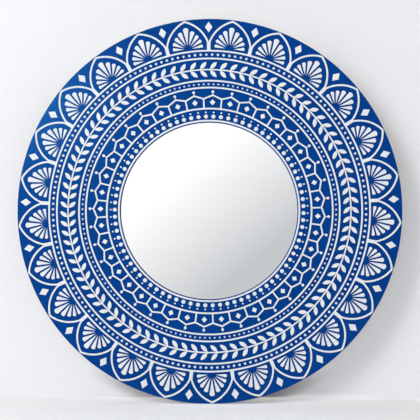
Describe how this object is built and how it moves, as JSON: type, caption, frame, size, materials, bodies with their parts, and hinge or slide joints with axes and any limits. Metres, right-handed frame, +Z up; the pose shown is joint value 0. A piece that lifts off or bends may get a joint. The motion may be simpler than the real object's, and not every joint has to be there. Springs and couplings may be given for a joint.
{
  "type": "wall mirror",
  "caption": "Round wall mirror in a broad blue board with a raised white mandala of petals, leaves and pentagons, held by turn buttons and hung on D-rings",
  "frame": {"origin": "On the wall plane, where the axis of the disc meets it", "axes": "The front faces -Y, +Y points into the wall, +Z is up and +X is the viewer's right"},
  "size_m": [0.6, 0.0242, 0.6],
  "materials": {
    "fibre_board": "raw fibre board",
    "blue_lacquer": "satin blue lacquer",
    "white_fretwork": "matt white",
    "silvered_glass": "silvered",
    "back_panel": "smooth hardboard",
    "zinc_steel": "zinc plated",
    "black_rubber": "matt"
  },
  "bodies": {
    "frame": {"frame_board": "fibre_board", "blue_facing": "blue_lacquer", "mirror_glass": "silvered_glass", "backing_panel": "back_panel", "petal_fret": "white_fretwork", "outer_dot_line": "white_fretwork", "leaf_vine": "white_fretwork", "inner_dot_line_a": "white_fretwork", "inner_dot_line_b": "white_fretwork", "pentagon_fret": "white_fretwork", "mirror_line": "white_fretwork", "rim_diamond_01": "white_fretwork", "rim_diamond_02": "white_fretwork", "rim_diamond_03": "white_fretwork", "rim_diamond_04": "white_fretwork", "rim_diamond_05": "white_fretwork", "rim_diamond_06": "white_fretwork", "rim_diamond_07": "white_fretwork", "rim_diamond_08": "white_fretwork", "rim_diamond_09": "white_fretwork", "rim_diamond_10": "white_fretwork", "rim_diamond_11": "white_fretwork", "rim_diamond_12": "white_fretwork", "rim_diamond_13": "white_fretwork", "rim_diamond_14": "white_fretwork", "rim_diamond_15": "white_fretwork", "rim_diamond_16": "white_fretwork", "rim_diamond_17": "white_fretwork", "rim_diamond_18": "white_fretwork", "rim_diamond_19": "white_fretwork", "rim_diamond_20": "white_fretwork", "rim_diamond_21": "white_fretwork", "rim_diamond_22": "white_fretwork", "rim_diamond_23": "white_fretwork", "rim_diamond_24": "white_fretwork", "rim_diamond_25": "white_fretwork", "turn_button_screw_1": "zinc_steel", "turn_button_screw_2": "zinc_steel", "turn_button_screw_3": "zinc_steel", "turn_button_screw_4": "zinc_steel", "turn_button_screw_5": "zinc_steel", "turn_button_screw_6": "zinc_steel", "hanger_strap_left": "zinc_steel", "hanger_strap_right": "zinc_steel", "hanger_screw_left_1": "zinc_steel", "hanger_screw_left_2": "zinc_steel", "hanger_screw_right_1": "zinc_steel", "hanger_screw_right_2": "zinc_steel", "wall_bumper_1": "black_rubber", "wall_bumper_2": "black_rubber", "wall_bumper_3": "black_rubber", "wall_bumper_4": "black_rubber"},
    "turn_button_1_body": {"turn_button_1": "zinc_steel"},
    "turn_button_2_body": {"turn_button_2": "zinc_steel"},
    "turn_button_3_body": {"turn_button_3": "zinc_steel"},
    "turn_button_4_body": {"turn_button_4": "zinc_steel"},
    "turn_button_5_body": {"turn_button_5": "zinc_steel"},
    "turn_button_6_body": {"turn_button_6": "zinc_steel"},
    "hanger_ring_left_body": {"hanger_ring_left": "zinc_steel"},
    "hanger_ring_right_body": {"hanger_ring_right": "zinc_steel"}
  },
  "joints": [
    {"name": "turn_button_1_pivot", "type": "hinge", "parent": "frame", "child": "turn_button_1_body", "pos_m": [0.081, -0.00625, 0.1403], "axis": [0, 1, 0], "continuous": true},
    {"name": "turn_button_2_pivot", "type": "hinge", "parent": "frame", "child": "turn_button_2_body", "pos_m": [0.162, -0.00625, 0], "axis": [0, 1, 0], "continuous": true},
    {"name": "turn_button_3_pivot", "type": "hinge", "parent": "frame", "child": "turn_button_3_body", "pos_m": [0.081, -0.00625, -0.1403], "axis": [0, 1, 0], "continuous": true},
    {"name": "turn_button_4_pivot", "type": "hinge", "parent": "frame", "child": "turn_button_4_body", "pos_m": [-0.081, -0.00625, -0.1403], "axis": [0, 1, 0], "continuous": true},
    {"name": "turn_button_5_pivot", "type": "hinge", "parent": "frame", "child": "turn_button_5_body", "pos_m": [-0.162, -0.00625, 0], "axis": [0, 1, 0], "continuous": true},
    {"name": "turn_button_6_pivot", "type": "hinge", "parent": "frame", "child": "turn_button_6_body", "pos_m": [-0.081, -0.00625, 0.1403], "axis": [0, 1, 0], "continuous": true},
    {"name": "hanger_ring_left_swing", "type": "hinge", "parent": "frame", "child": "hanger_ring_left_body", "pos_m": [-0.17, -0.00425, 0.13], "axis": [1, 0, 0], "range_deg": [0, 180]},
    {"name": "hanger_ring_right_swing", "type": "hinge", "parent": "frame", "child": "hanger_ring_right_body", "pos_m": [0.17, -0.00425, 0.13], "axis": [1, 0, 0], "range_deg": [0, 180]}
  ]
}
